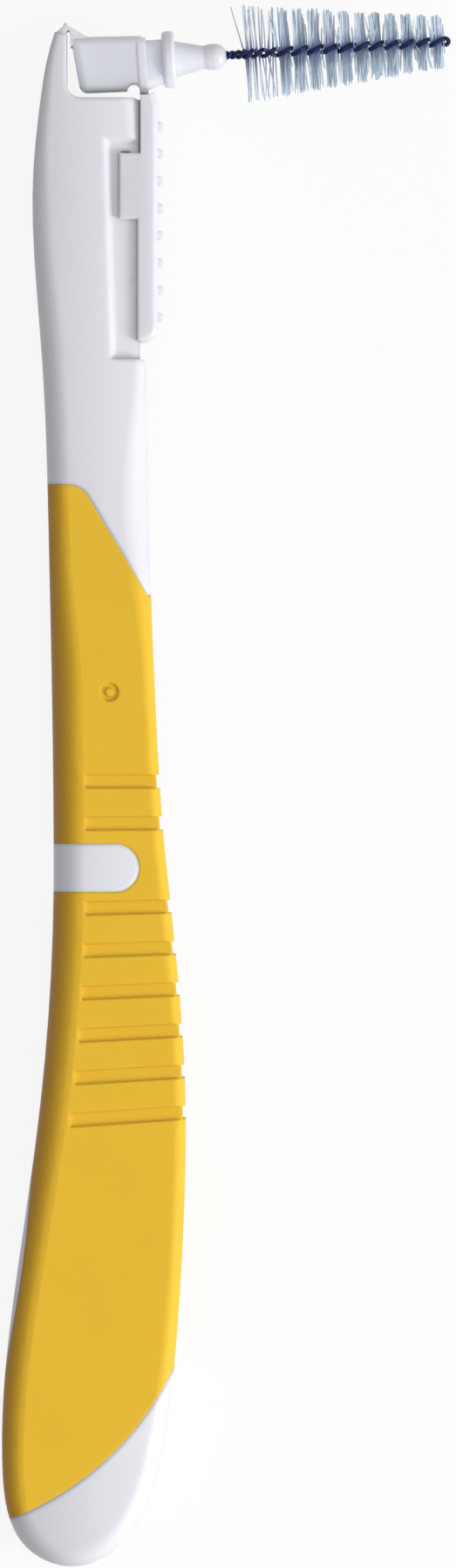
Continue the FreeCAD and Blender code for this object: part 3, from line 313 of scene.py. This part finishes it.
bristleNylon = {
    "pale": (0.81, 0.90, 0.98, 1),
    "deep": (0.44, 0.545, 0.68, 1),
    "rootBlue": (0.07, 0.10, 0.34, 1),
    "roughness": 0.35,
    "grainScale": 5000,
    "grainMix": 0.2,
    "grainGloss": 0.2,
    "toneMix": 0.8,
    "rootMix": 0.85,
}


def bristleNylonMaterial():
    look = bristleNylon
    material, shader, flow, place = newMaterial("bristleNylon")
    tone = flow.node("ShaderNodeAttribute", {"attribute_name": "filamentTone"}, output="Fac")
    grain = flow.noise(place, look["grainScale"])
    root = flow.node("ShaderNodeAttribute", {"attribute_name": "rootShade"}, output="Fac")
    depth = tone * look["toneMix"] + grain * look["grainMix"]
    nylon = flow.mixColour(depth, look["pale"], look["deep"])
    plug(flow, flow.mixColour(root * look["rootMix"], nylon, look["rootBlue"]), shader, "Base Color")
    plug(flow, look["roughness"] + (grain - 0.5) * look["grainGloss"], shader, "Roughness")
    return material


def dress(piece, material):
    piece.data.materials.clear()
    piece.data.materials.append(material)


whiteMaterial = whitePlasticMaterial()
yellowMaterial = yellowGripMaterial()
frostedMaterial = frostedPlasticMaterial()
wireMaterial = blueWireMaterial()
bristleMaterial = bristleNylonMaterial()
dress(nodes["handle_core"], whiteMaterial)
dress(nodes["grip_sleeve"], yellowMaterial)
dress(nodes["brush_holder"], frostedMaterial)
dress(nodes["lock_slide"], frostedMaterial)
dress(nodes["twisted_wire"], wireMaterial)
print("materials made")


def deselectAll():
    if bpy.context.object and bpy.context.object.mode != "OBJECT":
        bpy.ops.object.mode_set(mode="OBJECT")
    bpy.ops.object.select_all(action="DESELECT")


def applyPlace(piece):
    deselectAll()
    piece.select_set(True)
    bpy.context.view_layer.objects.active = piece
    bpy.ops.object.transform_apply(location=True, rotation=True, scale=True)


# Filaments: one is modelled straight and a few with a bend, then copied into tufts along the twisted wire
filament = {
    "radius": 0.052 * millimetre,
    "sides": 5,
    "joints": 4,
    "rootShare": 0.5,
    "bends": (0.0, 0.06 * millimetre, -0.06 * millimetre, 0.14 * millimetre, -0.12 * millimetre),
    "tipShrink": 0.8,
    "smoothAngle": math.radians(60),
}


def makeFilament(bend):
    # unit length along +Z, leaning sideways more and more towards its tip
    deselectAll()
    bpy.ops.mesh.primitive_circle_add(
        vertices=filament["sides"], radius=filament["radius"], fill_type="NGON", location=(0, 0, 0)
    )
    piece = bpy.context.object
    bpy.ops.object.mode_set(mode="EDIT")
    step = 1 / filament["joints"]
    for joint in range(filament["joints"]):
        sideways = bend * step * step * (2 * joint + 1)
        bpy.ops.mesh.extrude_region_move(TRANSFORM_OT_translate={"value": (sideways, 0, step)})
    shrink = filament["tipShrink"]
    bpy.ops.transform.resize(value=(shrink, shrink, 1))
    bpy.ops.mesh.select_all(action="SELECT")
    bpy.ops.mesh.normals_make_consistent(inside=False)
    bpy.ops.object.mode_set(mode="OBJECT")
    bpy.ops.object.shade_smooth_by_angle(angle=filament["smoothAngle"])
    shade = piece.data.attributes.new("rootShade", "FLOAT", "POINT")
    heights = [vertex.co.z for vertex in piece.data.vertices]
    depths = [max(0.0, 1 - height / filament["rootShare"]) for height in heights]
    shade.data.foreach_set("value", depths)
    return piece


tuft = {
    "sparseRows": 3,
    "sparseFilaments": 5,
    "blockFilaments": 18,
    "looseFilaments": 5,
    "sparseWidth": 0.9,
    "blockWidth": 0.62,
    "scatter": (0.2, 0.8),
    "fan": math.radians(24),
    "fanBlur": 3,
    "looseFan": (math.radians(30), math.radians(70)),
    "looseOffset": (0.3, 0.5),
    "sparseLean": math.radians(4.5),
    "blockLean": math.radians(1.6),
    "looseLean": math.radians(5),
    "shortest": 0.92,
    "longest": 0.995,
    "seed": 7,
}
# single filaments that stand apart before the first tuft: offset along the wire, lean along it, side, length
strays = (
    (-0.30 * millimetre, math.radians(-13), 1, 0.985),
    (-0.16 * millimetre, math.radians(1), 1, 0.97),
    (-0.10 * millimetre, math.radians(0), 1, 0.80),
    (-0.28 * millimetre, math.radians(3), -1, 0.97),
)

rowNames = sorted(name for name in nodes if name.startswith("bristle_row"))
rowBoxes = [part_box(name) for name in rowNames]
rowCentres = [(low + high) / 2 for low, high in rowBoxes]
rowReaches = [(high.y - low.y) / 2 for low, high in rowBoxes]
brushWay = (rowCentres[-1] - rowCentres[0]).normalized()
brushUp = Vector((0, 0, 1)).cross(brushWay).normalized()
brushOut = Vector((0, 0, 1))


def placeFilament(pattern, foot, way, length, roll):
    piece = pattern.copy()
    piece.data = pattern.data.copy()
    bpy.context.collection.objects.link(piece)
    turn = way.to_track_quat("Z", "X").to_matrix().to_4x4() @ Matrix.Rotation(roll, 4, "Z")
    stretch = Matrix.Diagonal((1, 1, length, 1))
    piece.data.transform(Matrix.Translation(foot) @ turn @ stretch)
    return piece


def setTone(piece, tone):
    attribute = piece.data.attributes.new("filamentTone", "FLOAT", "POINT")
    attribute.data.foreach_set("value", [tone] * len(piece.data.vertices))


def tuftLayout(number, chance):
    # for each filament: place along the wire as a share of the pitch, turn about the wire, lean along it
    sparse = number < tuft["sparseRows"]
    count = tuft["sparseFilaments" if sparse else "blockFilaments"]
    width = tuft["sparseWidth" if sparse else "blockWidth"]
    lean = tuft["sparseLean" if sparse else "blockLean"]
    layout = []
    for place in range(count):
        share = (place + chance.uniform(*tuft["scatter"])) / count - 0.5
        turn = -2 * share * tuft["fan"] + chance.gauss(0, tuft["fan"] / tuft["fanBlur"])
        layout.append((share * width, turn, chance.gauss(0, lean)))
    for place in range(0 if sparse else tuft["looseFilaments"]):
        side = chance.choice((1, -1))
        turn = -side * chance.uniform(*tuft["looseFan"])
        offset = side * chance.uniform(*tuft["looseOffset"])
        layout.append((offset, turn, chance.gauss(0, tuft["looseLean"])))
    return layout


def makeTuft(number, patterns, chance):
    centre = rowCentres[number]
    before = rowCentres[max(number - 1, 0)]
    after = rowCentres[min(number + 1, len(rowCentres) - 1)]
    pitch = (after - before).length / (2 if 0 < number < len(rowCentres) - 1 else 1)
    reach = rowReaches[number]
    wanted = []
    for side in (1, -1):
        for share, turn, lean in tuftLayout(number, chance):
            length = chance.uniform(tuft["shortest"], tuft["longest"])
            wanted.append((share * pitch, turn, lean, side, length))
    if number == 0:
        wanted += [(offset, 0, lean, side, length) for offset, lean, side, length in strays]
    pieces = []
    for offset, turn, lean, side, length in wanted:
        across = (brushUp * math.cos(turn) + brushOut * math.sin(turn)) * side
        way = (across * math.cos(lean) + brushWay * math.sin(lean)).normalized()
        pattern = chance.choice(patterns)
        foot = centre + brushWay * offset
        piece = placeFilament(pattern, foot, way, reach * length, chance.uniform(0, math.tau))
        setTone(piece, chance.random())
        pieces.append(piece)
    deselectAll()
    for piece in pieces:
        piece.select_set(True)
    bpy.context.view_layer.objects.active = pieces[0]
    bpy.ops.object.join()
    made = bpy.context.object
    made.name = f"bristleTuft{number + 1:02d}"
    dress(made, bristleMaterial)
    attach(made, "head")
    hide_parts(rowNames[number])


def makeBristles():
    chance = random.Random(tuft["seed"])
    patterns = [makeFilament(bend) for bend in filament["bends"]]
    for number in range(len(rowNames)):
        makeTuft(number, patterns, chance)
    for pattern in patterns:
        bpy.data.objects.remove(pattern)


makeBristles()
print("bristles set:", len(rowNames), "tufts")


# Living hinge: a strip that leaves the post, turns over the slot and widens into the holder's corner
web = {
    "root": (-0.72 * millimetre, -0.72 * millimetre),
    "slotCentre": (0.135 * millimetre, -0.32 * millimetre),
    "slotRadius": 0.12 * millimetre,
    "slotTurn": (150, 30),
    "knobCentre": (-0.02 * millimetre, 0.14 * millimetre),
    "knobRadius": 0.17 * millimetre,
    "knobTurn": (200, 10),
    "knobSteps": 8,
    "shoulder": (-0.72 * millimetre, -0.38 * millimetre),
    "brow": (0.55 * millimetre, -0.11 * millimetre),
    "legInner": (0.31 * millimetre, -1.35 * millimetre),
    "legOuter": (1.45 * millimetre, -0.66 * millimetre),
    "legParts": 5,
    "edge": 0.08 * millimetre,
    "edgeSegments": 3,
    "edgeAngle": math.radians(50),
    "smoothAngle": math.radians(40),
    "flexStart": -0.16 * millimetre,
    "flexEnd": 0.42 * millimetre,
}


def around(centre, radius, degrees):
    angle = math.radians(degrees)
    return centre + Vector((math.cos(angle), math.sin(angle), 0)) * radius


def between(turn, share):
    return turn[0] + (turn[1] - turn[0]) * share


def fromHinge(place):
    return headHinge + Vector((place[0], place[1], 0))


def extrudeTo(section, inner, outer):
    # carries the selected end face on to the section between two points
    oldInner, oldOuter = section
    oldSpan = oldOuter - oldInner
    span = outer - inner
    middle = (inner + outer) / 2
    move = middle - (oldInner + oldOuter) / 2
    bpy.ops.mesh.extrude_region_move(TRANSFORM_OT_translate={"value": move})
    turn = oldSpan.xy.angle_signed(span.xy)
    bpy.ops.transform.rotate(value=turn, orient_axis="Z", center_override=middle)
    grow = span.length / oldSpan.length
    bpy.ops.transform.resize(value=(grow, grow, 1), center_override=middle)
    return inner, outer


def makeHingeWeb():
    low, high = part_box("hinge_web")
    slotCentre = fromHinge(web["slotCentre"])
    knobCentre = fromHinge(web["knobCentre"])
    rootOuter = fromHinge(web["root"])
    rootInner = Vector((slotCentre.x - web["slotRadius"], rootOuter.y, rootOuter.z))
    deselectAll()
    bpy.ops.mesh.primitive_plane_add(
        size=1, location=(rootInner + rootOuter) / 2, rotation=(math.radians(-90), 0, 0)
    )
    piece = bpy.context.object
    piece.name = "hingeWeb"
    piece.scale = (rootInner.x - rootOuter.x, high.z - low.z, 1)
    applyPlace(piece)
    bpy.ops.object.mode_set(mode="EDIT")
    bpy.ops.mesh.select_all(action="SELECT")
    section = (rootInner, rootOuter)
    section = extrudeTo(section, around(slotCentre, web["slotRadius"], 180), fromHinge(web["shoulder"]))
    for step in range(web["knobSteps"] + 1):
        share = step / web["knobSteps"]
        inner = around(slotCentre, web["slotRadius"], between(web["slotTurn"], share))
        outer = around(knobCentre, web["knobRadius"], between(web["knobTurn"], share))
        section = extrudeTo(section, inner, outer)
    section = extrudeTo(section, around(slotCentre, web["slotRadius"], 0), fromHinge(web["brow"]))
    legStart = section
    for part in range(web["legParts"]):
        share = (part + 1) / web["legParts"]
        inner = legStart[0].lerp(fromHinge(web["legInner"]), share)
        outer = legStart[1].lerp(fromHinge(web["legOuter"]), share)
        section = extrudeTo(section, inner, outer)
    bpy.ops.mesh.select_all(action="SELECT")
    bpy.ops.mesh.normals_make_consistent(inside=False)
    bpy.ops.object.mode_set(mode="OBJECT")
    rounding = piece.modifiers.new("edgeRounding", "BEVEL")
    rounding.width = web["edge"]
    rounding.segments = web["edgeSegments"]
    rounding.angle_limit = web["edgeAngle"]
    bpy.ops.object.modifier_apply(modifier=rounding.name)
    bpy.ops.object.shade_smooth_by_angle(angle=web["smoothAngle"])
    dress(piece, frostedMaterial)
    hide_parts("hinge_web")
    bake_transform(piece)


makeHingeWeb()
print("hinge web bent")


# Studio: pale floor that shows white, keeps a soft shadow and throws back little light
studio = {
    "white": (1, 1, 1, 1),
    "floorSize": 8.0,
    "floorDrop": 0.02 * millimetre,
    "floorColour": (0.9, 0.9, 0.91, 1),
    "floorBounce": (0.42, 0.42, 0.43, 1),
    "floorWhite": 0.88,
    "ambient": 0.60,
    "sideways": 0.46,
    "lampTarget": (0.004, 0.01, 0.004),
    "keyPlace": (0.50, -0.22, 0.26),
    "keySize": 0.30,
    "keyPower": 2.2,
    "fillPlace": (0.05, 0.10, 0.70),
    "fillSize": 0.5,
    "fillPower": 0.36,
}


def backgroundRay(flow):
    # 1 where a ray shows the background: straight, by reflection or through clear plastic
    seen = None
    for ray in ("Is Camera Ray", "Is Glossy Ray", "Is Transmission Ray"):
        found = flow.node("ShaderNodeLightPath", output=ray)
        seen = found if seen is None else flow.mathNode("MAXIMUM", seen, found)
    return seen


def makeFloor():
    deselectAll()
    bpy.ops.mesh.primitive_plane_add(size=studio["floorSize"], location=(0, 0, -studio["floorDrop"]))
    floor = bpy.context.object
    floor.name = "studioFloor"
    material = bpy.data.materials.new("paleFloor")
    material.use_nodes = True
    tree = material.node_tree
    flow = Flow(tree)
    tree.nodes.remove(tree.nodes["Principled BSDF"])
    tone = flow.mixColour(backgroundRay(flow), studio["floorBounce"], studio["floorColour"])
    matt = flow.node("ShaderNodeBsdfDiffuse", None, {"Color": tone})
    white = flow.node("ShaderNodeEmission", None, {"Color": studio["white"], "Strength": 1.0})
    mixed = flow.node(
        "ShaderNodeMixShader", None, {0: backgroundRay(flow) * studio["floorWhite"], 1: matt, 2: white}
    )
    tree.links.new(mixed.socket, tree.nodes["Material Output"].inputs["Surface"])
    dress(floor, material)


def makeWorld():
    world = bpy.data.worlds.new("studioWorld")
    bpy.context.scene.world = world
    world.use_nodes = True
    tree = world.node_tree
    flow = Flow(tree)
    tree.nodes.clear()
    direction = flow.node("ShaderNodeTexCoord", output="Generated")
    sideways = flow.node("ShaderNodeSeparateXYZ", None, {0: direction}, output="X")
    soft = flow.node(
        "ShaderNodeBackground", None,
        {"Color": studio["white"], "Strength": studio["ambient"] + sideways * studio["sideways"]},
    )
    white = flow.node("ShaderNodeBackground", None, {"Color": studio["white"], "Strength": 1.0})
    mixed = flow.node("ShaderNodeMixShader", None, {0: backgroundRay(flow), 1: soft, 2: white})
    output = tree.nodes.new("ShaderNodeOutputWorld")
    tree.links.new(mixed.socket, output.inputs["Surface"])


def makeLamp(name, place, size, power):
    target = Vector(studio["lampTarget"])
    place = Vector(place)
    bpy.ops.object.light_add(type="AREA", location=place)
    lamp = bpy.context.object
    lamp.name = name
    lamp.data.shape = "DISK"
    lamp.data.size = size
    lamp.data.energy = power
    lamp.rotation_euler = (target - place).to_track_quat("-Z", "Y").to_euler()
    lamp.visible_camera = False


makeFloor()
makeWorld()
makeLamp("keyLamp", studio["keyPlace"], studio["keySize"], studio["keyPower"])
makeLamp("fillLamp", studio["fillPlace"], studio["fillSize"], studio["fillPower"])
bpy.context.scene.view_settings.view_transform = "Standard"
print("studio lit")
